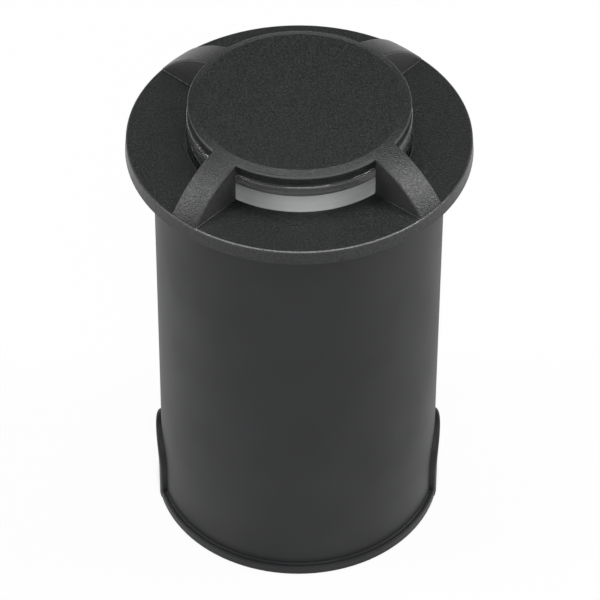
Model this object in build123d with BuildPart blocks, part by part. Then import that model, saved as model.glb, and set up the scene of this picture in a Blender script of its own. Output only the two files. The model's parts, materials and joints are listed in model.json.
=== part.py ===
from build123d import *
import os
from math import cos, degrees, radians, sin

os.makedirs("parts", exist_ok=True)

# Driveway light: a lamp head that stands in a sleeve set in the ground.
# Millimetres, +Z up. The origin is the centre of the sleeve's foot.
# The four windows face +X, -X, +Y and -Y, and the ribs lie on the diagonals.

# Ground sleeve
sleeve_diameter = 110.0
sleeve_wall = 2.2
sleeve_height = 173.25
sleeve_lead_in = 0.8
lip_projection = 2.0
lip_height = 3.8
lip_round = 0.7

# Cable inlets in the sleeve's foot
inlet_width = 23.8
inlet_leg_height = 15.0
inlet_rim_width = 3.1
inlet_rim_projection = 2.2
inlet_rim_round = 1.0
inlet_turn = -3.3

# Fits
fit_gap = 0.3
screw_gap = 0.1

# Rubber ring on the sleeve's mouth
seal_thickness = 2.0
seal_lip_length = 6.0
seal_lip_wall = 1.8

# Die-cast cover
rim_overhang = 10.0
rim_height = 5.75
rim_draft = 0.4
rim_round = 0.6
rim_foot_chamfer = 0.4
crown_rise = 16.8
crown_radius = 44.0
crown_run_out = 9.0
crest_round = 0.6
cap_edge_width = 3.0
cap_inset = 0.5
rib_width = 11.7
rib_end_step = 0.2
rib_foot_round = 0.6
floor_dip = 0.4
floor_plate = 3.1
window_height = 11.6
window_corner_round = 0.65
neck_wall = 5.0
neck_length = 13.0
recess_depth = 2.4
recess_width = 5.7
recess_edge = 3.0
recess_web = 2.0
recess_web_drop = 0.5
recess_web_count = 12

# Clear lens and its gasket
lens_wall = 8.0
lens_top_wall = 8.0
lens_shoulder = 1.0
lens_flange_width = 2.8
lens_flange_thickness = 3.0
lens_gasket_thickness = 1.5

# Light source
plinth_rise = 2.6
diffuser_wall = 2.3
reflector_plate = 1.0
reflector_tip_diameter = 6.0
reflector_tip_gap = 1.5
reflector_bow = 0.8
reflector_ledge = 0.9
board_thickness = 1.6
led_count = 12
led_length = 3.5
led_width = 2.8
led_height = 0.8
led_inset = 8.4
board_screw_count = 3
board_screw_circle_diameter = 30.0
board_screw_grip = 3.5

# Heat spreader
spreader_ring_wall = 4.6
spreader_plate = 4.5
spreader_web = 4.0
plinth_wall = 5.0
fin_count = 8
fin_thickness = 2.5
fin_tip_gap = 1.5
fin_inner_radius = 6.0

# Screws, all with the same thread
screw_diameter = 3.0
screw_head_diameter = 4.8
screw_head_height = 2.0
screw_tip_room = 1.0

# Lamp housing and its gasket
housing_gasket_thickness = 1.5
pot_flange_width = 5.8
pot_flange_thickness = 3.0
pot_depth = 60.0
pot_wall = 2.5
pot_floor = 3.0
pot_taper = 1.0
pot_foot_round = 4.0
housing_screw_count = 4
housing_screw_grip = 8.0

# Power supply
driver_rise = 2.0
driver_side_gap = 12.1
driver_height = 24.0
driver_foot_round = 2.0
driver_lug_diameter = 9.0
driver_lug_thickness = 3.0
driver_lug_reach = 4.5
driver_screw_count = 3
driver_screw_grip = 4.0

# Wires
lead_diameter = 1.8
led_lead_pitch = 5.0
led_lead_inset = 8.0
lead_hole_diameter = 12.0
supply_lead_bend = 4.0
supply_lead_reach = 6.0
supply_lead_grip = 5.0

# Terminal block
pole_count = 3
pole_pitch = 8.0
terminal_length = 16.0
terminal_height = 15.0
terminal_offset = 24.0
terminal_end_wall = 5.0
wire_hole_diameter = 3.6
clamp_diameter = 3.2
clamp_height = 4.0
clamp_recess = 1.0
clamp_inset = 3.0
fixing_diameter = 2.0
fixing_head_diameter = 3.6
fixing_head_height = 1.4
fixing_grip = 2.0
fixing_inset = 4.0

# Cable gland in the housing's floor
gland_flats = 22.0
gland_hex_height = 7.0
gland_spigot_diameter = 16.0
gland_spigot_length = 11.0
gland_barrel_diameter = 18.0
gland_barrel_length = 10.5
gland_bore_diameter = 10.4
gland_wall = 2.5
gland_washer_thickness = 1.2
gland_washer_width = 2.6
gland_seal_length = 10.0
cable_bore_diameter = 8.0
gland_nut_end = 3.0
gland_nut_gap = 0.5
gland_nut_chamfer = 1.5
locknut_height = 5.0

# Radii, from the sleeve inwards
sleeve_r = sleeve_diameter / 2
sleeve_bore_r = sleeve_r - sleeve_wall
seal_lip_r = sleeve_bore_r - fit_gap
seal_bore_r = seal_lip_r - seal_lip_wall
neck_r = seal_bore_r - fit_gap
neck_bore_r = neck_r - neck_wall
lens_flange_r = neck_bore_r - fit_gap
lens_r = lens_flange_r - lens_flange_width
lens_pocket_r = lens_r + fit_gap
lens_bore_r = lens_r - lens_wall
cap_wall_r = lens_r - cap_inset
cap_flat_r = cap_wall_r - cap_edge_width
rim_r = sleeve_r + rim_overhang
spreader_r = lens_flange_r
plinth_r = lens_bore_r - fit_gap
diffuser_bore_r = plinth_r - diffuser_wall
reflector_r = diffuser_bore_r + reflector_ledge
board_r = diffuser_bore_r - fit_gap
led_circle_r = board_r - led_inset
housing_screw_r = neck_r - neck_wall / 2
pot_r = neck_r - pot_flange_width
pot_bore_r = pot_r - pot_wall
driver_r = pot_bore_r - driver_side_gap
driver_screw_r = driver_r + driver_lug_reach
led_lead_r = driver_r - led_lead_inset
screw_r = screw_diameter / 2
screw_hole_r = screw_r + screw_gap

# Heights, from the sleeve's mouth up and then down into the sleeve
flange_z = sleeve_height + seal_thickness
rim_z = flange_z + rim_height
cap_z = rim_z + crown_rise
floor_z = rim_z - floor_dip
seat_z = floor_z - floor_plate
ceiling_z = rim_z + window_height
neck_z = flange_z - neck_length
lens_top_z = ceiling_z - fit_gap
lens_ceiling_z = lens_top_z - lens_top_wall
lens_flange_z = seat_z - lens_gasket_thickness
lens_foot_z = lens_flange_z - lens_flange_thickness
plinth_z = lens_foot_z + plinth_rise
board_z = plinth_z + board_thickness
diffuser_ledge_z = lens_ceiling_z - reflector_plate
pot_top_z = neck_z - housing_gasket_thickness
pot_flange_z = pot_top_z - pot_flange_thickness
pot_foot_z = pot_top_z - pot_depth
pot_floor_z = pot_foot_z + pot_floor
driver_z = pot_top_z + driver_rise
driver_foot_z = driver_z - driver_height
driver_lug_z = driver_z - driver_lug_thickness
terminal_z = pot_floor_z + terminal_height
wire_z = pot_floor_z + terminal_height / 2
washer_z = pot_foot_z - gland_washer_thickness
hex_z = washer_z - gland_hex_height
barrel_z = hex_z - gland_barrel_length
gland_seal_z = barrel_z - gland_nut_gap
gland_step_z = gland_seal_z + gland_seal_length
nut_z = gland_seal_z - gland_nut_end

# Directions shared by several pieces
rib_count = 4
rib_angle = 45.0
inlet_plane = Plane(
    origin=(0, 0, 0),
    x_dir=(-sin(radians(inlet_turn)), cos(radians(inlet_turn)), 0),
    z_dir=(cos(radians(inlet_turn)), sin(radians(inlet_turn)), 0),
)
housing_screw_places = PolarLocations(housing_screw_r, housing_screw_count, start_angle=rib_angle)
board_screw_places = PolarLocations(board_screw_circle_diameter / 2, board_screw_count)
driver_screw_places = PolarLocations(driver_screw_r, driver_screw_count)
pole_places = [(pole - (pole_count - 1) / 2) * pole_pitch for pole in range(pole_count)]
fixing_places = [(place + next_place) / 2 for place, next_place in zip(pole_places, pole_places[1:])]


def axis_distance(edge):
    """How far the middle of an edge lies from the light's axis."""
    middle = edge @ 0.5
    return Vector(middle.X, middle.Y).length


# Both cable inlets' raised rims: a band on the sleeve, trimmed to the arch outline
inlet_top = inlet_leg_height + inlet_width / 2 + inlet_rim_width
inlet_half = inlet_width / 2
inlet_rim_half = inlet_half + inlet_rim_width
inlet_rim_r = sleeve_r + inlet_rim_projection

with BuildPart() as inlet_rims:
    with BuildSketch():
        Circle(inlet_rim_r)
        Circle(sleeve_r - sleeve_wall / 2, mode=Mode.SUBTRACT)
    extrude(amount=inlet_top)
    with BuildSketch(inlet_plane):
        with BuildLine():
            Line((-inlet_rim_half, 0), (-inlet_rim_half, inlet_leg_height))
            ThreePointArc(
                (-inlet_rim_half, inlet_leg_height),
                (0, inlet_top),
                (inlet_rim_half, inlet_leg_height),
            )
            Line((inlet_rim_half, inlet_leg_height), (inlet_rim_half, 0))
            Line((inlet_rim_half, 0), (-inlet_rim_half, 0))
        make_face()
    extrude(amount=sleeve_diameter, both=True, mode=Mode.INTERSECT)
    standing_edges = inlet_rims.edges().filter_by(lambda edge: edge.center().Z > 0.0)
    outer_edges = standing_edges.filter_by(
        lambda edge: all(Vector(corner.X, corner.Y).length > sleeve_r for corner in edge.vertices())
    )
    fillet(outer_edges, inlet_rim_round)

with BuildPart() as mounting_sleeve:
    with BuildSketch(Plane.XZ):
        with BuildLine():
            Polyline(
                (sleeve_bore_r, 0),
                (sleeve_r + lip_projection, 0),
                (sleeve_r + lip_projection, lip_height),
                (sleeve_r, lip_height),
                (sleeve_r, sleeve_height),
                (sleeve_bore_r + sleeve_lead_in, sleeve_height),
                (sleeve_bore_r, sleeve_height - sleeve_lead_in),
                close=True,
            )
        make_face()
    revolve(axis=Axis.Z)
    fillet(mounting_sleeve.edges().filter_by_position(Axis.Z, lip_height, lip_height), lip_round)
    add(inlet_rims.part)
    with BuildSketch(inlet_plane):
        with BuildLine():
            Line((-inlet_half, -lip_height), (-inlet_half, inlet_leg_height))
            ThreePointArc(
                (-inlet_half, inlet_leg_height),
                (0, inlet_leg_height + inlet_half),
                (inlet_half, inlet_leg_height),
            )
            Line((inlet_half, inlet_leg_height), (inlet_half, -lip_height))
            Line((inlet_half, -lip_height), (-inlet_half, -lip_height))
        make_face()
    extrude(amount=sleeve_diameter, both=True, mode=Mode.SUBTRACT)

mounting_sleeve.part.label = "mounting_sleeve"
export_step(mounting_sleeve.part, "parts/mounting_sleeve.step")


# Rubber ring that caps the sleeve's mouth and centres the cover's neck
with BuildPart() as seal_ring:
    with BuildSketch(Plane.XZ):
        with BuildLine():
            Polyline(
                (seal_bore_r, sleeve_height - seal_lip_length),
                (seal_lip_r, sleeve_height - seal_lip_length),
                (seal_lip_r, sleeve_height),
                (sleeve_r, sleeve_height),
                (sleeve_r, flange_z),
                (seal_bore_r, flange_z),
                close=True,
            )
        make_face()
    revolve(axis=Axis.Z)

seal_ring.part.label = "seal_ring"
export_step(seal_ring.part, "parts/seal_ring.step")


# Crown: the cap and its four ribs, carried on past the rim so that their edges round evenly,
# then cut back to the rim and hollowed for the lens
rim_crest_r = rim_r - rim_round
rim_edge_z = rim_z - rim_round
crown_arc = RadiusArc((cap_flat_r, cap_z), (rim_r, rim_edge_z + rib_end_step), crown_radius)
crown_sweep = degrees(crown_arc.length / crown_radius) + crown_run_out

with BuildPart() as crown:
    with BuildSketch(Plane.XZ):
        with BuildLine():
            crown_line = JernArc(crown_arc @ 0, crown_arc % 0, crown_radius, -crown_sweep)
            Polyline(
                crown_line @ 1,
                ((crown_line @ 1).X, neck_z),
                (0, neck_z),
                (0, cap_z),
                crown_line @ 0,
            )
        make_face()
    revolve(axis=Axis.Z)
    with BuildSketch(Plane.XY.offset(neck_z)):
        Circle(2 * rim_r)
        Circle(cap_wall_r, mode=Mode.SUBTRACT)
        Rectangle(4 * rim_r, rib_width, rotation=rib_angle, mode=Mode.SUBTRACT)
        Rectangle(4 * rim_r, rib_width, rotation=rib_angle + 90, mode=Mode.SUBTRACT)
    extrude(amount=cap_z, mode=Mode.SUBTRACT)
    corner_edges = crown.edges().filter_by(Axis.Z).filter_by(lambda edge: axis_distance(edge) < lens_pocket_r)
    fillet(corner_edges, window_corner_round)
    crest_edges = crown.edges().filter_by(GeomType.LINE, reverse=True).filter_by(
        lambda edge: cap_wall_r - fit_gap < axis_distance(edge) < rim_r and (edge @ 0.5).Z > rim_z
    )
    fillet(crest_edges, crest_round)
    with BuildSketch(Plane.XY.offset(seat_z)):
        Circle(rim_r)
    extrude(amount=cap_z, mode=Mode.INTERSECT)
    with BuildSketch(Plane.XY.offset(seat_z)):
        Circle(lens_pocket_r)
    extrude(amount=ceiling_z - seat_z, mode=Mode.SUBTRACT)

# Foot of one rib: a bar that flares out into the window floor and rises with it to the rim
rib_half = rib_width / 2
foot_half = rib_half + rib_foot_round
foot_length = rim_crest_r - lens_pocket_r
foot_plane = Plane(
    origin=(lens_pocket_r, 0, floor_z),
    x_dir=(0, 1, 0),
    z_dir=(foot_length, 0, floor_dip),
)

with BuildPart() as rib_foot:
    with BuildSketch(foot_plane):
        with BuildLine():
            RadiusArc((foot_half, 0), (rib_half, rib_foot_round), rib_foot_round)
            Line((rib_half, rib_foot_round), (-rib_half, rib_foot_round))
            RadiusArc((-rib_half, rib_foot_round), (-foot_half, 0), rib_foot_round)
            Polyline(
                (-foot_half, 0),
                (-foot_half, -floor_plate / 2),
                (foot_half, -floor_plate / 2),
                (foot_half, 0),
            )
        make_face()
    extrude(amount=foot_length, both=True)
    with BuildSketch(Plane.XY.offset(seat_z)):
        Circle(rim_crest_r)
        Circle(lens_pocket_r, mode=Mode.SUBTRACT)
    extrude(amount=ceiling_z - seat_z, mode=Mode.INTERSECT)

# Cover: crown, window floor, rim, flange and neck in one casting
with BuildPart() as cover:
    with BuildSketch(Plane.XZ):
        with BuildLine():
            Line((lens_pocket_r, floor_z), (rim_crest_r, rim_z))
            RadiusArc((rim_crest_r, rim_z), (rim_r, rim_edge_z), rim_round)
            Polyline(
                (rim_r, rim_edge_z),
                (rim_r + rim_draft, flange_z + rim_foot_chamfer),
                (rim_r + rim_draft - rim_foot_chamfer, flange_z),
                (neck_r, flange_z),
                (neck_r, neck_z),
                (neck_bore_r, neck_z),
                (neck_bore_r, seat_z),
                (lens_pocket_r, seat_z),
                (lens_pocket_r, floor_z),
            )
        make_face()
    revolve(axis=Axis.Z)
    add(crown.part)
    with PolarLocations(0, rib_count, start_angle=rib_angle):
        add(rib_foot.part)
    # Casting recess under the rim, crossed by short webs that end above the flange's face
    with BuildSketch(Plane.XY.offset(flange_z)):
        Circle(rim_r - recess_edge)
        Circle(rim_r - recess_edge - recess_width, mode=Mode.SUBTRACT)
    extrude(amount=recess_web_drop, mode=Mode.SUBTRACT)
    with BuildSketch(Plane.XY.offset(flange_z)):
        Circle(rim_r - recess_edge)
        Circle(rim_r - recess_edge - recess_width, mode=Mode.SUBTRACT)
        with PolarLocations(rim_r - recess_edge - recess_width / 2, recess_web_count):
            Rectangle(2 * recess_width, recess_web, mode=Mode.SUBTRACT)
    extrude(amount=recess_depth, mode=Mode.SUBTRACT)
    with BuildSketch(Plane.XY.offset(neck_z)):
        with housing_screw_places:
            Circle(screw_hole_r)
    extrude(amount=housing_screw_grip + screw_tip_room, mode=Mode.SUBTRACT)

cover.part.label = "cover"
export_step(cover.part, "parts/cover.step")


# Clear inverted cup that closes the four windows
with BuildPart() as lens:
    with BuildSketch(Plane.XZ):
        with BuildLine():
            Polyline(
                (lens_bore_r, lens_foot_z),
                (lens_flange_r, lens_foot_z),
                (lens_flange_r, lens_flange_z),
                (lens_r, lens_flange_z),
                (lens_r, lens_top_z - lens_shoulder),
            )
            RadiusArc(
                (lens_r, lens_top_z - lens_shoulder),
                (lens_r - lens_shoulder, lens_top_z),
                -lens_shoulder,
            )
            Polyline(
                (lens_r - lens_shoulder, lens_top_z),
                (0, lens_top_z),
                (0, lens_ceiling_z),
                (lens_bore_r, lens_ceiling_z),
                (lens_bore_r, lens_foot_z),
            )
        make_face()
    revolve(axis=Axis.Z)

lens.part.label = "lens"
export_step(lens.part, "parts/lens.step")


with BuildPart() as lens_gasket:
    with BuildSketch(Plane.XY.offset(lens_flange_z)):
        Circle(lens_flange_r)
        Circle(lens_pocket_r, mode=Mode.SUBTRACT)
    extrude(amount=lens_gasket_thickness)

lens_gasket.part.label = "lens_gasket"
export_step(lens_gasket.part, "parts/lens_gasket.step")


# Pale ring that glows behind the windows, with a ledge inside its top for the reflector
with BuildPart() as diffuser_ring:
    with BuildSketch(Plane.XY.offset(plinth_z)):
        Circle(plinth_r)
        Circle(diffuser_bore_r, mode=Mode.SUBTRACT)
    extrude(amount=lens_ceiling_z - plinth_z)
    with BuildSketch(Plane.XY.offset(diffuser_ledge_z)):
        Circle(reflector_r + fit_gap)
    extrude(amount=reflector_plate, mode=Mode.SUBTRACT)

diffuser_ring.part.label = "diffuser_ring"
export_step(diffuser_ring.part, "parts/diffuser_ring.step")


# Trumpet under a thin plate, which throws the board's light outwards
reflector_tip_z = board_z + reflector_tip_gap
with BuildPart() as reflector_cone:
    with BuildSketch(Plane.XZ):
        with BuildLine():
            Polyline(
                (reflector_tip_diameter / 2, reflector_tip_z),
                (0, reflector_tip_z),
                (0, lens_ceiling_z),
                (reflector_r, lens_ceiling_z),
                (reflector_r, diffuser_ledge_z),
                (board_r, diffuser_ledge_z),
            )
            SagittaArc(
                (board_r, diffuser_ledge_z),
                (reflector_tip_diameter / 2, reflector_tip_z),
                -reflector_bow,
            )
        make_face()
    revolve(axis=Axis.Z)

reflector_cone.part.label = "reflector_cone"
export_step(reflector_cone.part, "parts/reflector_cone.step")


with BuildPart() as led_board:
    with BuildSketch(Plane.XY.offset(plinth_z)):
        Circle(board_r)
        with board_screw_places:
            Circle(screw_hole_r, mode=Mode.SUBTRACT)
    extrude(amount=board_thickness)

led_board.part.label = "led_board"
export_step(led_board.part, "parts/led_board.step")


with BuildPart() as leds:
    with BuildSketch(Plane.XY.offset(board_z)):
        with PolarLocations(led_circle_r, led_count, start_angle=180 / led_count):
            Rectangle(led_length, led_width)
    extrude(amount=led_height)

leds.part.label = "leds"
export_step(leds.part, "parts/leds.step")


with BuildPart() as board_screws:
    with BuildSketch(Plane.XY.offset(board_z)):
        with board_screw_places:
            Circle(screw_head_diameter / 2)
    extrude(amount=screw_head_height)
    with BuildSketch(Plane.XY.offset(board_z)):
        with board_screw_places:
            Circle(screw_r)
    extrude(amount=-board_thickness - board_screw_grip)

board_screws.part.label = "board_screws"
export_step(board_screws.part, "parts/board_screws.step")


# Cast spreader: clamps the lens with its shoulder, carries the board on its plinth and has
# fins in its hollow underside
shoulder_hollow_z = lens_foot_z - spreader_web
plinth_hollow_z = plinth_z - spreader_plate
plinth_hollow_r = plinth_r - plinth_wall
fin_length = plinth_hollow_r - fin_inner_radius + plinth_wall / 2
fin_height = plinth_hollow_z - driver_z - fin_tip_gap

with BuildPart() as heat_spreader:
    with BuildSketch(Plane.XZ):
        with BuildLine():
            Polyline(
                (0, plinth_z),
                (plinth_r, plinth_z),
                (plinth_r, lens_foot_z),
                (spreader_r, lens_foot_z),
                (spreader_r, pot_top_z),
                (spreader_r - spreader_ring_wall, pot_top_z),
                (spreader_r - spreader_ring_wall, shoulder_hollow_z),
                (plinth_hollow_r, shoulder_hollow_z),
                (plinth_hollow_r, plinth_hollow_z),
                (0, plinth_hollow_z),
                close=True,
            )
        make_face()
    revolve(axis=Axis.Z)
    with BuildSketch(Plane.XY.offset(plinth_hollow_z)):
        with PolarLocations(fin_inner_radius + fin_length / 2, fin_count, start_angle=180 / fin_count):
            Rectangle(fin_length, fin_thickness)
    extrude(amount=-fin_height)
    with BuildSketch(Plane.XY.offset(driver_z)):
        with driver_screw_places:
            Circle(driver_lug_diameter / 2)
    extrude(amount=shoulder_hollow_z - driver_z)
    with BuildSketch(Plane.XY.offset(driver_z)):
        with driver_screw_places:
            Circle(screw_hole_r)
    extrude(amount=driver_screw_grip + screw_tip_room, mode=Mode.SUBTRACT)
    with BuildSketch(Plane.XY.offset(plinth_z)):
        with board_screw_places:
            Circle(screw_hole_r)
    extrude(amount=-board_screw_grip, mode=Mode.SUBTRACT)
    with BuildSketch(Plane.XY.offset(plinth_z)):
        with Locations((-led_lead_r, 0)):
            Circle(lead_hole_diameter / 2)
    extrude(amount=-spreader_plate, mode=Mode.SUBTRACT)

heat_spreader.part.label = "heat_spreader"
export_step(heat_spreader.part, "parts/heat_spreader.step")


with BuildPart() as led_leads:
    with BuildSketch(Plane.XY.offset(driver_z)):
        with Locations((-led_lead_r, -led_lead_pitch / 2), (-led_lead_r, led_lead_pitch / 2)):
            Circle(lead_diameter / 2)
    extrude(amount=plinth_z - driver_z)

led_leads.part.label = "led_leads"
export_step(led_leads.part, "parts/led_leads.step")


with BuildPart() as housing_gasket:
    with BuildSketch(Plane.XY.offset(pot_top_z)):
        Circle(neck_r)
        Circle(neck_bore_r, mode=Mode.SUBTRACT)
        with housing_screw_places:
            Circle(screw_hole_r, mode=Mode.SUBTRACT)
    extrude(amount=housing_gasket_thickness)

housing_gasket.part.label = "housing_gasket"
export_step(housing_gasket.part, "parts/housing_gasket.step")


# Pot that closes the lamp from below, drawn in towards its foot
with BuildPart() as lamp_housing:
    with BuildSketch(Plane.XZ):
        with BuildLine():
            Polyline(
                (pot_bore_r, pot_top_z),
                (neck_r, pot_top_z),
                (neck_r, pot_flange_z),
                (pot_r, pot_flange_z),
                (pot_r - pot_taper, pot_foot_z),
                (0, pot_foot_z),
                (0, pot_floor_z),
                (pot_bore_r - pot_taper, pot_floor_z),
                close=True,
            )
        make_face()
    revolve(axis=Axis.Z)
    fillet(lamp_housing.edges().filter_by_position(Axis.Z, pot_foot_z, pot_foot_z), pot_foot_round)
    with BuildSketch(Plane.XY.offset(pot_top_z)):
        with housing_screw_places:
            Circle(screw_hole_r)
    extrude(amount=-pot_flange_thickness, mode=Mode.SUBTRACT)
    with BuildSketch(Plane.XY.offset(pot_floor_z)):
        Circle(gland_spigot_diameter / 2 + screw_gap)
    extrude(amount=-pot_floor, mode=Mode.SUBTRACT)
    with BuildSketch(Plane.XY.offset(pot_floor_z)):
        with Locations(*[(terminal_offset + fixing_inset, place) for place in fixing_places]):
            Circle(fixing_diameter / 2 + screw_gap)
    extrude(amount=-fixing_grip, mode=Mode.SUBTRACT)

lamp_housing.part.label = "lamp_housing"
export_step(lamp_housing.part, "parts/lamp_housing.step")


with BuildPart() as housing_screws:
    with BuildSketch(Plane.XY.offset(pot_flange_z)):
        with housing_screw_places:
            Circle(screw_head_diameter / 2)
    extrude(amount=-screw_head_height)
    with BuildSketch(Plane.XY.offset(pot_flange_z)):
        with housing_screw_places:
            Circle(screw_r)
    extrude(amount=pot_flange_thickness + housing_gasket_thickness + housing_screw_grip)

housing_screws.part.label = "housing_screws"
export_step(housing_screws.part, "parts/housing_screws.step")


# Round potted supply, hung from the spreader by its lugs
with BuildPart() as driver_case:
    with BuildSketch(Plane.XY.offset(driver_foot_z)):
        Circle(driver_r)
    extrude(amount=driver_height)
    fillet(driver_case.edges().group_by(Axis.Z)[0], driver_foot_round)
    with BuildSketch(Plane.XY.offset(driver_lug_z)):
        with driver_screw_places:
            Circle(driver_lug_diameter / 2)
        with PolarLocations(driver_screw_r / 2, driver_screw_count):
            Rectangle(driver_screw_r, driver_lug_diameter)
    extrude(amount=driver_lug_thickness)
    with BuildSketch(Plane.XY.offset(driver_lug_z)):
        with driver_screw_places:
            Circle(screw_hole_r)
    extrude(amount=driver_lug_thickness, mode=Mode.SUBTRACT)

driver_case.part.label = "driver_case"
export_step(driver_case.part, "parts/driver_case.step")


with BuildPart() as driver_screws:
    with BuildSketch(Plane.XY.offset(driver_lug_z)):
        with driver_screw_places:
            Circle(screw_head_diameter / 2)
    extrude(amount=-screw_head_height)
    with BuildSketch(Plane.XY.offset(driver_lug_z)):
        with driver_screw_places:
            Circle(screw_r)
    extrude(amount=driver_lug_thickness + driver_screw_grip)

driver_screws.part.label = "driver_screws"
export_step(driver_screws.part, "parts/driver_screws.step")


# Terminal block on the housing's floor, beside the gland
terminal_width = pole_pitch * (pole_count - 1) + 2 * terminal_end_wall
terminal_side_x = terminal_offset - terminal_length / 2
clamp_x = terminal_offset - clamp_inset
fixing_x = terminal_offset + fixing_inset
clamp_hole_depth = clamp_recess + clamp_height

with BuildPart() as terminal_block:
    with BuildSketch(Plane.XY.offset(pot_floor_z)):
        with Locations((terminal_offset, 0)):
            Rectangle(terminal_length, terminal_width)
    extrude(amount=terminal_height)
    with BuildSketch(Plane.YZ.offset(terminal_side_x)):
        with Locations(*[(place, wire_z) for place in pole_places]):
            Circle(wire_hole_diameter / 2)
    extrude(amount=terminal_length, mode=Mode.SUBTRACT)
    with BuildSketch(Plane.XY.offset(terminal_z)):
        with Locations(*[(clamp_x, place) for place in pole_places]):
            Circle(clamp_diameter / 2)
    extrude(amount=-clamp_hole_depth, mode=Mode.SUBTRACT)
    with BuildSketch(Plane.XY.offset(terminal_z)):
        with Locations(*[(fixing_x, place) for place in fixing_places]):
            Circle(fixing_diameter / 2 + screw_gap)
    extrude(amount=-terminal_height, mode=Mode.SUBTRACT)

terminal_block.part.label = "terminal_block"
export_step(terminal_block.part, "parts/terminal_block.step")


with BuildPart() as terminal_clamps:
    with BuildSketch(Plane.XY.offset(terminal_z - clamp_hole_depth)):
        with Locations(*[(clamp_x, place) for place in pole_places]):
            Circle(clamp_diameter / 2 - screw_gap)
    extrude(amount=clamp_height)

terminal_clamps.part.label = "terminal_clamps"
export_step(terminal_clamps.part, "parts/terminal_clamps.step")


with BuildPart() as terminal_fixings:
    with BuildSketch(Plane.XY.offset(terminal_z)):
        with Locations(*[(fixing_x, place) for place in fixing_places]):
            Circle(fixing_head_diameter / 2)
    extrude(amount=fixing_head_height)
    with BuildSketch(Plane.XY.offset(terminal_z)):
        with Locations(*[(fixing_x, place) for place in fixing_places]):
            Circle(fixing_diameter / 2)
    extrude(amount=-terminal_height - fixing_grip)

terminal_fixings.part.label = "terminal_fixings"
export_step(terminal_fixings.part, "parts/terminal_fixings.step")


# Wires from the terminals, bent up to the supply's underside
with BuildPart() as supply_leads:
    for place in pole_places:
        lead_start = (terminal_side_x + supply_lead_grip, place, wire_z)
        lead_corner = (terminal_side_x - supply_lead_reach, place, wire_z)
        lead_end = (terminal_side_x - supply_lead_reach, place, driver_foot_z)
        with BuildLine():
            FilletPolyline(lead_start, lead_corner, lead_end, radius=supply_lead_bend)
        with BuildSketch(Plane(origin=lead_start, z_dir=(-1, 0, 0))):
            Circle(lead_diameter / 2)
        sweep()

supply_leads.part.label = "supply_leads"
export_step(supply_leads.part, "parts/supply_leads.step")


# Cable gland, from the washer under the floor down to the nut, and the locknut inside
spigot_r = gland_spigot_diameter / 2
barrel_r = gland_barrel_diameter / 2

with BuildPart() as gland_washer:
    with BuildSketch(Plane.XY.offset(washer_z)):
        Circle(spigot_r + gland_washer_width)
        Circle(spigot_r + screw_gap, mode=Mode.SUBTRACT)
    extrude(amount=gland_washer_thickness)

gland_washer.part.label = "gland_washer"
export_step(gland_washer.part, "parts/gland_washer.step")


with BuildPart() as gland_body:
    with BuildSketch(Plane.XY.offset(hex_z)):
        RegularPolygon(gland_flats / 2, 6, major_radius=False)
    extrude(amount=gland_hex_height)
    with BuildSketch(Plane.XY.offset(washer_z)):
        Circle(spigot_r)
    extrude(amount=gland_spigot_length)
    with BuildSketch(Plane.XY.offset(barrel_z)):
        Circle(barrel_r)
    extrude(amount=gland_barrel_length)
    with BuildSketch(Plane.XY.offset(barrel_z)):
        Circle(barrel_r - gland_wall)
    extrude(amount=gland_step_z - barrel_z, mode=Mode.SUBTRACT)
    with BuildSketch(Plane.XY.offset(barrel_z)):
        Circle(gland_bore_diameter / 2)
    extrude(amount=washer_z + gland_spigot_length - barrel_z, mode=Mode.SUBTRACT)

gland_body.part.label = "gland_body"
export_step(gland_body.part, "parts/gland_body.step")


with BuildPart() as gland_locknut:
    with BuildSketch(Plane.XY.offset(pot_floor_z)):
        RegularPolygon(gland_flats / 2, 6, major_radius=False)
        Circle(spigot_r + screw_gap, mode=Mode.SUBTRACT)
    extrude(amount=locknut_height)

gland_locknut.part.label = "gland_locknut"
export_step(gland_locknut.part, "parts/gland_locknut.step")


with BuildPart() as gland_seal:
    with BuildSketch(Plane.XY.offset(gland_seal_z)):
        Circle(barrel_r - gland_wall - screw_gap)
        Circle(cable_bore_diameter / 2, mode=Mode.SUBTRACT)
    extrude(amount=gland_seal_length)

gland_seal.part.label = "gland_seal"
export_step(gland_seal.part, "parts/gland_seal.step")


with BuildPart() as gland_nut:
    with BuildSketch(Plane.XY.offset(nut_z)):
        RegularPolygon(gland_flats / 2, 6, major_radius=False)
    extrude(amount=hex_z - gland_nut_gap - nut_z)
    chamfer(gland_nut.edges().group_by(Axis.Z)[0], gland_nut_chamfer)
    with BuildSketch(Plane.XY.offset(gland_seal_z)):
        Circle(barrel_r + screw_gap)
    extrude(amount=hex_z - gland_seal_z, mode=Mode.SUBTRACT)
    with BuildSketch(Plane.XY.offset(nut_z)):
        Circle(gland_bore_diameter / 2)
    extrude(amount=gland_nut_end, mode=Mode.SUBTRACT)

gland_nut.part.label = "gland_nut"
export_step(gland_nut.part, "parts/gland_nut.step")
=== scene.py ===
import json
import math

import bpy
from mathutils import Matrix, Vector

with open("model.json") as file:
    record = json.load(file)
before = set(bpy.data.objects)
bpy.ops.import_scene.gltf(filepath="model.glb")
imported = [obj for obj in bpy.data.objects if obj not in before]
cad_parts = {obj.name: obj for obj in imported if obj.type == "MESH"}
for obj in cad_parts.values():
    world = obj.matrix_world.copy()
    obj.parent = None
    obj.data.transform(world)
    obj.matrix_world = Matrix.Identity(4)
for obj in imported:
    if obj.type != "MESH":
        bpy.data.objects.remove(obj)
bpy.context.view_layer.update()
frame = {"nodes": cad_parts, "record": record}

# Lengths are in metres. One millimetre is MM.
MM = 0.001


# Landmarks of the CAD nodes, which the finishes and the floor follow


def box_top(name):
    """Highest corner of a CAD node's box, in the part's frame."""
    corners = frame["nodes"][name].bound_box
    return Vector([max(corner[axis] for corner in corners) for axis in range(3)])


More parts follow.
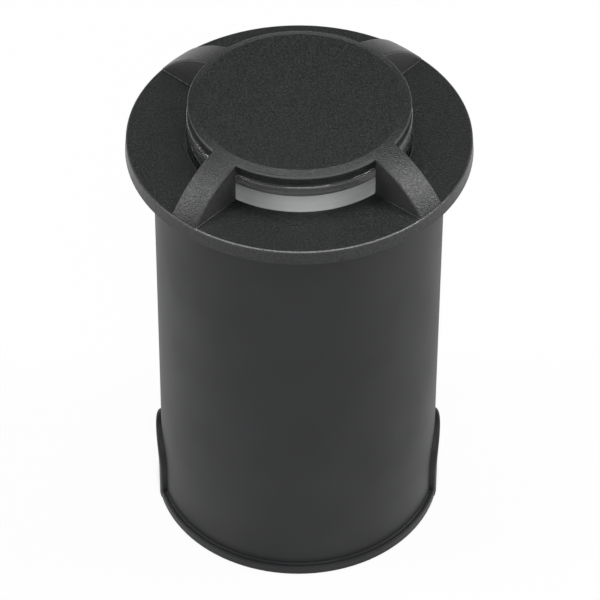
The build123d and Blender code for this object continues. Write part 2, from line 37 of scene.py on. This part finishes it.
RIM_RADIUS = box_top("cover").x
RIB_REACH = 23.6 * MM
CAP_RADIUS = RIM_RADIUS - RIB_REACH
CAP_TOP = box_top("cover").z
CROWN_RISE = 16.8 * MM
CREST_TOP = CAP_TOP - CROWN_RISE
LENS_TOP = box_top("lens").z
DIFFUSER_TOP = box_top("diffuser_ring").z
FOOT_RADIUS = box_top("mounting_sleeve").y


# Material building blocks

# Spans of a source: a share from none to all, and where most of a noise lies
SHARE_SPAN = (0.0, 1.0)
NOISE_SPAN = (0.3, 0.7)
# Size of a normal's Z, from faces that count as upright to those that no longer do
UPRIGHT_SPAN = (0.25, 0.45)
CELL_SMOOTHNESS = 0.8
OPENNESS_SAMPLES = 8


class Nodes:
    """A node material, with short helpers for its textures and sums."""

    def __init__(self, name):
        self.material = bpy.data.materials.new(name)
        self.material.use_nodes = True
        self.tree = self.material.node_tree
        self.place = self.node("ShaderNodeTexCoord").outputs["Object"]

    def node(self, kind, **settings):
        made = self.tree.nodes.new(kind)
        for setting, value in settings.items():
            setattr(made, setting, value)
        return made

    def link(self, source, target):
        self.tree.links.new(source, target)

    def stretched(self, x, y, z):
        """Object coordinates scaled along each axis, for brushed or drawn textures."""
        mapping = self.node("ShaderNodeMapping")
        mapping.inputs["Scale"].default_value = (x, y, z)
        self.link(self.place, mapping.inputs["Vector"])
        return mapping.outputs["Vector"]

    def noise(self, grain, detail=3.0, place=None):
        """Cloudy noise whose blobs are about one grain across."""
        made = self.node("ShaderNodeTexNoise")
        made.inputs["Scale"].default_value = 1.0 / grain
        made.inputs["Detail"].default_value = detail
        self.link(place or self.place, made.inputs["Vector"])
        return made.outputs["Fac"]

    def cells(self, grain):
        """Distance from the middle of round cells that are about one grain across."""
        made = self.node("ShaderNodeTexVoronoi", feature="SMOOTH_F1")
        made.inputs["Scale"].default_value = 1.0 / grain
        made.inputs["Smoothness"].default_value = CELL_SMOOTHNESS
        self.link(self.place, made.inputs["Vector"])
        return made.outputs["Distance"]

    def along(self, axis):
        """Distance along the light's X, Y or Z axis, from the middle of its foot."""
        split = self.node("ShaderNodeSeparateXYZ")
        self.link(self.place, split.inputs["Vector"])
        return split.outputs[axis]

    def radius(self):
        """Distance from the light's axis."""
        flat = self.node("ShaderNodeVectorMath", operation="MULTIPLY")
        flat.inputs[1].default_value = (1.0, 1.0, 0.0)
        self.link(self.place, flat.inputs[0])
        length = self.node("ShaderNodeVectorMath", operation="LENGTH")
        self.link(flat.outputs["Vector"], length.inputs[0])
        return length.outputs["Value"]

    def upright(self):
        """1 on upright faces, 0 on sloping and level ones."""
        split = self.node("ShaderNodeSeparateXYZ")
        self.link(self.node("ShaderNodeNewGeometry").outputs["Normal"], split.inputs["Vector"])
        return self.spread(self.unsigned(split.outputs["Z"]), UPRIGHT_SPAN, 1.0, 0.0)

    def openness(self, reach, inside=False):
        """How far a spot is from closed in within that reach: 1 on the flat, less in a corner, or less
        on an edge where the inside of the piece is asked for."""
        made = self.node("ShaderNodeAmbientOcclusion", only_local=True, inside=inside)
        made.samples = OPENNESS_SAMPLES
        made.inputs["Distance"].default_value = reach
        return made.outputs["AO"]

    def maths(self, operation, *sources):
        """Result of one operation on one or two sources."""
        made = self.node("ShaderNodeMath", operation=operation)
        for source, target in zip(sources, made.inputs):
            self.link(source, target)
        return made.outputs["Value"]

    def unsigned(self, source):
        return self.maths("ABSOLUTE", source)

    def times(self, first, second):
        return self.maths("MULTIPLY", first, second)

    def larger(self, first, second):
        return self.maths("MAXIMUM", first, second)

    def spread(self, source, span, first, last):
        """Number that runs from first to last while the source runs over the span."""
        low, high = span
        limits = {"From Min": low, "From Max": high, "To Min": first, "To Max": last}
        made = self.node("ShaderNodeMapRange")
        for socket, value in limits.items():
            made.inputs[socket].default_value = value
        self.link(source, made.inputs["Value"])
        return made.outputs["Result"]

    def between(self, source, span, fade):
        """1 while the source lies in the span, fading to 0 outside it."""
        low, high = span
        rise = self.spread(source, (low - fade, low), 0.0, 1.0)
        fall = self.spread(source, (high, high + fade), 1.0, 0.0)
        return self.times(rise, fall)

    def ring(self, radii, heights, radius_fade, height_fade):
        """1 between two radii from the light's axis and two heights, fading to 0 outside them."""
        across = self.between(self.radius(), radii, radius_fade)
        upwards = self.between(self.along("Z"), heights, height_fade)
        return self.times(across, upwards)

    def ramp(self, source, span, first_colour, last_colour):
        """Colour that runs from the first to the last while the source runs over the span."""
        colours = (first_colour, last_colour)
        made = self.node("ShaderNodeValToRGB")
        for element, position, colour in zip(made.color_ramp.elements, span, colours):
            element.position = position
            element.color = (*colour, 1.0)
        self.link(source, made.inputs["Fac"])
        return made.outputs["Color"]

    def tinted(self, first, second):
        """One colour multiplied by another."""
        made = self.node("ShaderNodeMix", data_type="RGBA", blend_type="MULTIPLY")
        made.inputs["Factor"].default_value = 1.0
        self.link(first, made.inputs["A"])
        self.link(second, made.inputs["B"])
        return made.outputs["Result"]

    def worn(self, base, wear, worn_colour):
        """Base colour that gives way to another where the wear reaches 1."""
        made = self.node("ShaderNodeMix", data_type="RGBA")
        made.inputs["B"].default_value = (*worn_colour, 1.0)
        self.link(wear, made.inputs["Factor"])
        self.link(base, made.inputs["A"])
        return made.outputs["Result"]

    def show_mix(self, share, first, second):
        """Puts two shaders on the surface, the second by that share and the first for the rest."""
        mix = self.node("ShaderNodeMixShader")
        for source, target in zip((share, first, second), mix.inputs):
            self.link(source, target)
        self.link(mix.outputs["Shader"], self.tree.nodes["Material Output"].inputs["Surface"])


class Finish(Nodes):
    """A node material around one Principled shader."""

    def __init__(self, name, roughness, **sockets):
        super().__init__(name)
        self.shader = self.tree.nodes["Principled BSDF"]
        self.shader.inputs["Roughness"].default_value = roughness
        for socket, value in sockets.items():
            self.shader.inputs[socket.replace("_", " ")].default_value = value
        self.normal = None

    def colour(self, source):
        self.link(source, self.shader.inputs["Base Color"])

    def rough(self, source):
        self.link(source, self.shader.inputs["Roughness"])

    def shine(self, source):
        self.link(source, self.shader.inputs["Specular IOR Level"])

    def clearness(self, source):
        self.link(source, self.shader.inputs["Transmission Weight"])

    def bump(self, source, height, strength):
        """Adds relief of that height, on top of any relief added before."""
        made = self.node("ShaderNodeBump")
        made.inputs["Strength"].default_value = strength
        made.inputs["Distance"].default_value = height
        self.link(source, made.inputs["Height"])
        if self.normal is not None:
            self.link(self.normal, made.inputs["Normal"])
        self.normal = made.outputs["Normal"]
        self.link(self.normal, self.shader.inputs["Normal"])

    def let_lamps_through(self, share):
        """Rays from lamps cross the piece straight, at that share of their light."""
        clear = self.node("ShaderNodeBsdfTransparent")
        clear.inputs["Color"].default_value = (*grey(share), 1.0)
        lamp_ray = self.node("ShaderNodeLightPath").outputs["Is Shadow Ray"]
        self.show_mix(lamp_ray, self.shader.outputs["BSDF"], clear.outputs["BSDF"])


def grey(level, tint=(1.0, 1.0, 1.0)):
    return tuple(level * channel for channel in tint)


# Zones of the finishes: radii from the light's axis, heights above its foot, places front to back

CREST_RADII = (RIM_RADIUS - 1.0 * MM, RIM_RADIUS - 0.6 * MM)
CREST_HEIGHTS = (CREST_TOP - 0.25 * MM, CREST_TOP + 0.05 * MM)
# Front band where the rim's crest gets its painted highlight and its smoother gloss
CREST_FRONT = (-52 * MM, -36 * MM)
RIM_SIDE_HEIGHTS = (CREST_TOP - 1.0 * MM, CREST_TOP - 0.3 * MM)
RUBBED_HEIGHTS = (CREST_TOP - 2.0 * MM, CREST_TOP - 0.5 * MM)
RIB_RADII = (CAP_RADIUS + 1.2 * MM, RIM_RADIUS - 1.9 * MM)
RIB_HEIGHTS = (CREST_TOP, CAP_TOP - 1.8 * MM)
CAP_SIDE_RADII = (CAP_RADIUS - 0.3 * MM, CAP_RADIUS + 0.3 * MM)
CAP_SIDE_HEIGHTS = (LENS_TOP - 0.3 * MM, CAP_TOP - 1.8 * MM)
# Cap's edge, which gets a painted highlight at its front
CAP_EDGE_RADII = (CAP_RADIUS - 0.5 * MM, CAP_RADIUS + 0.1 * MM)
CAP_EDGE_HEIGHTS = (CAP_TOP - 1.9 * MM, CAP_TOP - 1.1 * MM)
CAP_FRONT = (-28 * MM, -8 * MM)
# Heights over which the lens turns milkier and lighter towards its top: painted light
LENS_TOP_PAINTED_LIGHT_HEIGHTS = (LENS_TOP - 5.8 * MM, LENS_TOP - 3.8 * MM)
# Heights over which the diffuser's painted shade greys it towards its top
DIFFUSER_PAINTED_SHADE_HEIGHTS = (DIFFUSER_TOP - 7.8 * MM, DIFFUSER_TOP)
# X times Y on the diffuser, which grows from nothing in the middle of a window to its most behind a rib;
# it sets the diffuser's painted shade behind the ribs
WINDOW_TO_RIB_PAINTED_SHADE = (200 * MM * MM, 530 * MM * MM)


# Finishes, one for each material slot of the record

CHARCOAL_TINT = (0.92, 1.08, 1.0)
COAT_DARK = grey(0.005, CHARCOAL_TINT)
COAT_PALE = grey(0.022, CHARCOAL_TINT)
RUBBED_EDGE = grey(0.12)
# Painted highlight, for the front of the rim's crest and of the cap's edge
PAINTED_HIGHLIGHT = grey(0.2)
# Painted light: a paler colour on the ribs' upright walls, standing in for light that falls on them
RIB_WALL_PAINTED_LIGHT = grey(0.065)
BLACK_TINT = (0.98, 1.0, 1.02)
SLEEVE_DARK = grey(0.0165, BLACK_TINT)
SLEEVE_PALE = grey(0.0195, BLACK_TINT)


def cover_coating():
    """Charcoal powder coat: fine grain with lighter tops, satin, dull in the corners and on the sides of
    the rim and the cap, rubbed lighter on the edges, with painted light on the ribs' walls and a painted
    highlight along the front of the rim's crest and of the cap's edge."""
    finish = Finish("cover_coating", 0.42, IOR=1.6)
    height = finish.along("Z")
    depth = finish.along("Y")
    grain = finish.noise(0.5 * MM)
    flecks = finish.noise(0.9 * MM, detail=2.0)
    patches = finish.noise(14 * MM, detail=2.0)
    pebbles = finish.spread(finish.cells(0.6 * MM), (0.0, 0.6), 1.0, 0.0)
    corners = finish.spread(finish.openness(1.2 * MM), (0.62, 0.95), 0.0, 1.0)
    edges = finish.spread(finish.openness(0.7 * MM, inside=True), (0.97, 0.82), 0.0, 0.15)

    crest_ring = finish.ring(CREST_RADII, CREST_HEIGHTS, radius_fade=0.15 * MM, height_fade=0.1 * MM)
    crest = finish.times(crest_ring, finish.spread(depth, CREST_FRONT, 1.0, 0.15))
    ribs = finish.ring(RIB_RADII, RIB_HEIGHTS, radius_fade=0.5 * MM, height_fade=0.5 * MM)
    cap_side = finish.ring(CAP_SIDE_RADII, CAP_SIDE_HEIGHTS, radius_fade=0.1 * MM, height_fade=0.3 * MM)
    cap_edge = finish.ring(CAP_EDGE_RADII, CAP_EDGE_HEIGHTS, radius_fade=0.1 * MM, height_fade=0.2 * MM)

    speckle = finish.ramp(flecks, (0.42, 0.66), COAT_DARK, COAT_PALE)
    cloud = finish.ramp(patches, NOISE_SPAN, grey(0.92), grey(1.0))
    upper_edges = finish.times(edges, finish.spread(height, RUBBED_HEIGHTS, 0.0, 1.0))
    # Painted light on the ribs' upright walls
    rib_walls_painted_light = finish.times(ribs, finish.spread(finish.upright(), SHARE_SPAN, 0.0, 0.5))
    # Painted highlight along the front of the rim's crest, speckled by the grain
    crest_painted_highlight = finish.times(crest, finish.spread(grain, (0.35, 0.6), 0.35, 1.0))
    # Painted highlight along the front of the cap's edge
    cap_edge_painted_highlight = finish.times(cap_edge, finish.spread(depth, CAP_FRONT, 0.6, 0.0))
    coat = finish.tinted(speckle, cloud)
    coat = finish.worn(coat, upper_edges, RUBBED_EDGE)
    coat = finish.worn(coat, rib_walls_painted_light, RIB_WALL_PAINTED_LIGHT)
    coat = finish.worn(coat, crest_painted_highlight, PAINTED_HIGHLIGHT)
    coat = finish.worn(coat, cap_edge_painted_highlight, PAINTED_HIGHLIGHT)
    finish.colour(coat)

    satin = finish.spread(grain, (0.36, 0.64), 0.42, 0.31)
    finish.rough(finish.times(satin, finish.spread(crest, SHARE_SPAN, 1.0, 0.5)))
    rim_shine = finish.spread(height, RIM_SIDE_HEIGHTS, 0.36, 0.5)
    cap_shine = finish.spread(cap_side, SHARE_SPAN, 1.0, 0.6)
    finish.shine(finish.times(corners, finish.times(rim_shine, cap_shine)))
    finish.bump(pebbles, height=0.12 * MM, strength=0.65)
    finish.bump(grain, height=0.10 * MM, strength=0.65)
    return finish.material


def sleeve_plastic():
    """Satin black moulding with a very fine grain."""
    finish = Finish("sleeve_plastic", 0.50, IOR=1.36, Specular_Tint=(0.94, 0.96, 1.0, 1.0))
    grain = finish.noise(0.25 * MM, detail=2.0)
    patches = finish.noise(30 * MM, detail=2.0)
    finish.colour(finish.ramp(patches, NOISE_SPAN, SLEEVE_DARK, SLEEVE_PALE))
    finish.rough(finish.spread(patches, NOISE_SPAN, 0.53, 0.47))
    finish.bump(grain, height=0.012 * MM, strength=0.5)
    return finish.material


def housing_coating():
    """Black paint on a casting, a little orange-peeled."""
    finish = Finish("housing_coating", 0.45)
    peel = finish.noise(1.6 * MM, detail=2.0)
    grain = finish.noise(0.4 * MM, detail=2.0)
    finish.colour(finish.ramp(peel, NOISE_SPAN, grey(0.014), grey(0.022)))
    finish.rough(finish.spread(grain, NOISE_SPAN, 0.40, 0.52))
    finish.bump(peel, height=0.05 * MM, strength=0.5)
    return finish.material


def clear_lens():
    """Clear polycarbonate, polished, with faint handling haze, and painted light that makes it milkier
    and lighter towards its top. Lamps shine through it."""
    finish = Finish("clear_lens", 0.02, IOR=1.585, Transmission_Weight=1.0)
    haze = finish.noise(9 * MM, detail=4.0)
    finish.colour(finish.ramp(haze, NOISE_SPAN, (0.93, 0.95, 0.95), (0.97, 0.98, 0.98)))
    finish.rough(finish.spread(haze, (0.35, 0.75), 0.015, 0.05))
    # Painted light: the lens is less clear, so milkier and lighter, towards its top
    finish.clearness(finish.spread(finish.along("Z"), LENS_TOP_PAINTED_LIGHT_HEIGHTS, 1.0, 0.94))
    finish.let_lamps_through(0.9)
    return finish.material


def diffuser():
    """Frosted ring, pale at its foot, with painted shade that greys it towards its top and behind the
    ribs, and a fine moulded grain."""
    finish = Finish("diffuser", 0.55)
    grain = finish.noise(0.3 * MM, detail=2.0)
    patches = finish.noise(10 * MM, detail=2.0)
    rise = finish.spread(finish.along("Z"), DIFFUSER_PAINTED_SHADE_HEIGHTS, 0.0, 1.0)
    aside = finish.unsigned(finish.times(finish.along("X"), finish.along("Y")))
    ends = finish.spread(aside, WINDOW_TO_RIB_PAINTED_SHADE, 0.0, 1.0)
    cloud = finish.ramp(patches, NOISE_SPAN, grey(0.97), grey(1.0))
    # Painted shade: greyer towards the diffuser's top
    fade = finish.ramp(rise, SHARE_SPAN, grey(0.97), grey(0.64))
    # Painted shade: greyer behind the ribs, where a window's ends lie
    shade = finish.ramp(ends, SHARE_SPAN, grey(1.0), grey(0.75))
    finish.colour(finish.tinted(finish.tinted(fade, shade), cloud))
    finish.rough(finish.spread(grain, NOISE_SPAN, 0.5, 0.62))
    finish.bump(grain, height=0.015 * MM, strength=0.4)
    return finish.material


def reflector():
    """White moulded reflector, semi-gloss."""
    finish = Finish("reflector", 0.25)
    cloud = finish.noise(8 * MM, detail=2.0)
    finish.colour(finish.ramp(cloud, NOISE_SPAN, (0.80, 0.80, 0.79), (0.86, 0.86, 0.85)))
    finish.bump(finish.noise(1.2 * MM), height=0.01 * MM, strength=0.4)
    return finish.material


def board():
    """White solder mask over faint traces."""
    finish = Finish("board", 0.4)
    traces = finish.noise(5 * MM, detail=0.0)
    finish.colour(finish.ramp(traces, (0.48, 0.52), (0.74, 0.75, 0.73), (0.82, 0.83, 0.82)))
    finish.bump(traces, height=0.03 * MM, strength=0.4)
    return finish.material


def led_phosphor():
    """Yellow phosphor gel, slightly grainy."""
    finish = Finish("led_phosphor", 0.25)
    grain = finish.noise(0.2 * MM)
    finish.colour(finish.ramp(grain, NOISE_SPAN, (0.80, 0.58, 0.12), (0.88, 0.70, 0.20)))
    finish.bump(grain, height=0.01 * MM, strength=0.4)
    return finish.material


def bare_aluminium():
    """As-cast aluminium, dull and slightly mottled."""
    finish = Finish("bare_aluminium", 0.45, Metallic=1.0)
    skin = finish.noise(0.7 * MM)
    mottle = finish.noise(7 * MM)
    finish.colour(finish.ramp(mottle, NOISE_SPAN, (0.56, 0.57, 0.58), (0.68, 0.69, 0.70)))
    finish.rough(finish.spread(skin, NOISE_SPAN, 0.38, 0.55))
    finish.bump(skin, height=0.03 * MM, strength=0.6)
    return finish.material


def screw_steel():
    """Stainless steel with fine turning marks."""
    finish = Finish("screw_steel", 0.3, Metallic=1.0)
    marks = finish.noise(1.0 * MM, place=finish.stretched(1.0, 1.0, 6.0))
    finish.colour(finish.ramp(marks, NOISE_SPAN, (0.52, 0.52, 0.53), (0.64, 0.64, 0.65)))
    finish.rough(finish.spread(marks, NOISE_SPAN, 0.22, 0.38))
    finish.bump(marks, height=0.01 * MM, strength=0.5)
    return finish.material


def black_rubber():
    """Matt black rubber with a bloom."""
    finish = Finish("black_rubber", 0.75)
    bloom = finish.noise(4 * MM)
    finish.colour(finish.ramp(bloom, NOISE_SPAN, grey(0.012), grey(0.022)))
    finish.rough(finish.spread(bloom, NOISE_SPAN, 0.7, 0.85))
    finish.bump(finish.noise(0.3 * MM), height=0.02 * MM, strength=0.5)
    return finish.material


def silicone():
    """Grey silicone sheet, satin."""
    finish = Finish("silicone", 0.6)
    cloud = finish.noise(3 * MM)
    finish.colour(finish.ramp(cloud, NOISE_SPAN, (0.42, 0.42, 0.41), (0.50, 0.50, 0.49)))
    finish.bump(finish.noise(0.4 * MM), height=0.015 * MM, strength=0.5)
    return finish.material


def wire_sleeving():
    """Red-brown silicone sleeving, a little cloudy, with a fine grain."""
    finish = Finish("wire_sleeving", 0.5)
    cloud = finish.noise(2 * MM)
    finish.colour(finish.ramp(cloud, NOISE_SPAN, (0.38, 0.09, 0.06), (0.46, 0.13, 0.09)))
    finish.bump(finish.noise(0.3 * MM), height=0.02 * MM, strength=0.5)
    return finish.material


def driver_plastic():
    """Light grey moulded case with a fine spark-eroded grain."""
    finish = Finish("driver_plastic", 0.5)
    grain = finish.noise(0.4 * MM)
    cloud = finish.noise(12 * MM)
    finish.colour(finish.ramp(cloud, NOISE_SPAN, (0.60, 0.60, 0.58), (0.66, 0.66, 0.64)))
    finish.rough(finish.spread(grain, NOISE_SPAN, 0.45, 0.6))
    finish.bump(grain, height=0.03 * MM, strength=0.5)
    return finish.material


def terminal_plastic():
    """Ivory polyamide, a little cloudy, with a fine grain."""
    finish = Finish("terminal_plastic", 0.4)
    cloud = finish.noise(6 * MM)
    finish.colour(finish.ramp(cloud, NOISE_SPAN, (0.70, 0.67, 0.58), (0.76, 0.73, 0.65)))
    finish.bump(finish.noise(0.5 * MM), height=0.015 * MM, strength=0.5)
    return finish.material


def terminal_brass():
    """Plain brass, slightly dulled."""
    finish = Finish("terminal_brass", 0.3, Metallic=1.0)
    dull = finish.noise(1.2 * MM)
    finish.colour(finish.ramp(dull, NOISE_SPAN, (0.60, 0.44, 0.18), (0.74, 0.58, 0.28)))
    finish.rough(finish.spread(dull, NOISE_SPAN, 0.22, 0.42))
    finish.bump(dull, height=0.01 * MM, strength=0.4)
    return finish.material


def gland_plastic():
    """Black polyamide, satin."""
    finish = Finish("gland_plastic", 0.42)
    cloud = finish.noise(5 * MM)
    finish.colour(finish.ramp(cloud, NOISE_SPAN, grey(0.014), grey(0.021)))
    finish.rough(finish.spread(cloud, NOISE_SPAN, 0.36, 0.5))
    finish.bump(finish.noise(0.35 * MM), height=0.015 * MM, strength=0.5)
    return finish.material


FINISHES = (
    cover_coating, sleeve_plastic, housing_coating, clear_lens, diffuser, reflector, board, led_phosphor,
    bare_aluminium, screw_steel, black_rubber, silicone, wire_sleeving, driver_plastic, terminal_plastic,
    terminal_brass, gland_plastic,
)


def dress_nodes():
    """Gives every CAD node the finish that the record names for it."""
    finishes = {make.__name__: make() for make in FINISHES}
    for subpart in frame["record"]["subparts"]:
        node = frame["nodes"][subpart["node"]]
        node.data.materials.clear()
        node.data.materials.append(finishes[subpart["material_slot"]])


dress_nodes()


# Camera at the photograph's angle

CAMERA_AZIMUTH = math.radians(-4.0)
CAMERA_ELEVATION = math.radians(43.52)
CAMERA_ROLL = math.radians(0.285)
CAMERA_DISTANCE = 1443.65 * MM
CAMERA_TARGET = Vector((0.53, -0.048, 95.75)) * MM
# Blender takes the lens and the sensor in millimetres
CAMERA_LENS = 222.0
CAMERA_SENSOR = 36.0


def add_camera():
    """Camera that looks at its target from that distance, turned by its roll."""
    back = Vector((
        math.sin(CAMERA_AZIMUTH) * math.cos(CAMERA_ELEVATION),
        -math.cos(CAMERA_AZIMUTH) * math.cos(CAMERA_ELEVATION),
        math.sin(CAMERA_ELEVATION),
    ))
    level = Vector((math.cos(CAMERA_AZIMUTH), math.sin(CAMERA_AZIMUTH), 0.0))
    right = Matrix.Rotation(CAMERA_ROLL, 3, back) @ level
    up = back.cross(right)
    data = bpy.data.cameras.new("camera")
    data.lens = CAMERA_LENS
    data.sensor_width = CAMERA_SENSOR
    camera = bpy.data.objects.new("camera", data)
    place = Matrix((right, up, back)).transposed().to_4x4()
    place.translation = CAMERA_TARGET + CAMERA_DISTANCE * back
    camera.matrix_world = place
    bpy.context.scene.collection.objects.link(camera)
    bpy.context.scene.camera = camera


add_camera()


# Studio: a white floor that sweeps up into a low wall, and softboxes above, on both sides and in front

FLOOR_RADIUS = 2.6
FLOOR_RINGS = (0.02, 0.1, 0.3, 0.6)
SWEEP_RADIUS = 0.7
SWEEP_STEPS = 12
WALL_HEIGHT = 0.75
BACKDROP_SIDES = 96
PAPER_LEVEL = 0.9
WHITE_SHARE = 0.95
SHADED_RADIUS = FOOT_RADIUS - 6 * MM
WHITE_FROM_RADIUS = FOOT_RADIUS + 1 * MM
WORLD_LEVEL = 0.10
LAMP_AIM = Vector((0.0, 0.0, 0.15))
# Name, place, width and depth, and radiance of each softbox
SOFTBOXES = (
    ("softbox_top", (0.0, 0.42, 1.7), (1.2, 0.6), 3.0),
    ("softbox_left", (-1.15, 0.0, 1.15), (0.5, 1.3), 5.0),
    ("softbox_right", (1.15, 0.0, 1.15), (0.5, 1.3), 6.1),
    ("softbox_front", (0.1, -1.2, 1.35), (1.0, 1.1), 3.7),
)


def sweep_profile():
    """Radius and height of the backdrop's rings, from the middle of the floor to the top of the wall."""
    profile = [(FLOOR_RADIUS * share, 0.0) for share in FLOOR_RINGS]
    for step in range(SWEEP_STEPS + 1):
        turn = math.radians(90.0 * step / SWEEP_STEPS)
        radius = FLOOR_RADIUS + SWEEP_RADIUS * math.sin(turn)
        height = SWEEP_RADIUS * (1.0 - math.cos(turn))
        profile.append((radius, height))
    profile.append((FLOOR_RADIUS + SWEEP_RADIUS, WALL_HEIGHT))
    return profile


def backdrop_material():
    """White paper: lit by the lamps, and lifted to white where the camera, gloss or glass sees it, apart
    from the floor inside the sleeve, which stays in its shade."""
    nodes = Nodes("backdrop")
    nodes.tree.nodes.remove(nodes.tree.nodes["Principled BSDF"])
    paper = nodes.node("ShaderNodeBsdfDiffuse")
    paper.inputs["Color"].default_value = (*grey(PAPER_LEVEL), 1.0)
    white = nodes.node("ShaderNodeEmission")
    rays = nodes.node("ShaderNodeLightPath").outputs
    seen = nodes.larger(rays["Is Camera Ray"], rays["Is Glossy Ray"])
    seen = nodes.larger(seen, rays["Is Transmission Ray"])
    outside = nodes.spread(nodes.radius(), (SHADED_RADIUS, WHITE_FROM_RADIUS), 0.0, WHITE_SHARE)
    nodes.show_mix(nodes.times(seen, outside), paper.outputs["BSDF"], white.outputs["Emission"])
    return nodes.material


def add_backdrop():
    """Round floor and wall, as a fan of faces in the middle and rings of faces from there outwards."""
    profile = sweep_profile()
    corners = [(0.0, 0.0, 0.0)]
    faces = []
    for radius, height in profile:
        for side in range(BACKDROP_SIDES):
            turn = 2.0 * math.pi * side / BACKDROP_SIDES
            corners.append((radius * math.cos(turn), radius * math.sin(turn), height))
    for side in range(BACKDROP_SIDES):
        following = (side + 1) % BACKDROP_SIDES
        faces.append((0, 1 + side, 1 + following))
        for ring in range(len(profile) - 1):
            inner = 1 + ring * BACKDROP_SIDES
            outer = inner + BACKDROP_SIDES
            faces.append((inner + side, outer + side, outer + following, inner + following))
    mesh = bpy.data.meshes.new("backdrop")
    mesh.from_pydata(corners, [], faces)
    mesh.polygons.foreach_set("use_smooth", [True] * len(mesh.polygons))
    mesh.materials.append(backdrop_material())
    backdrop = bpy.data.objects.new("backdrop", mesh)
    bpy.context.scene.collection.objects.link(backdrop)


def add_softbox(name, place, size, radiance):
    """Area lamp that faces the light's head and looks as bright as radiance says."""
    width, depth = size
    data = bpy.data.lights.new(name, "AREA")
    data.shape = "RECTANGLE"
    data.size = width
    data.size_y = depth
    data.energy = radiance * math.pi * width * depth
    lamp = bpy.data.objects.new(name, data)
    lamp.location = place
    lamp.rotation_euler = (LAMP_AIM - Vector(place)).to_track_quat("-Z", "Y").to_euler()
    bpy.context.scene.collection.objects.link(lamp)


def add_world():
    """Faint, even light from all round."""
    world = bpy.data.worlds.new("studio")
    world.use_nodes = True
    sky = world.node_tree.nodes["Background"]
    sky.inputs["Color"].default_value = (1.0, 1.0, 1.0, 1.0)
    sky.inputs["Strength"].default_value = WORLD_LEVEL
    bpy.context.scene.world = world


add_backdrop()
add_world()
for softbox in SOFTBOXES:
    add_softbox(*softbox)

bpy.context.scene.view_settings.view_transform = "Standard"
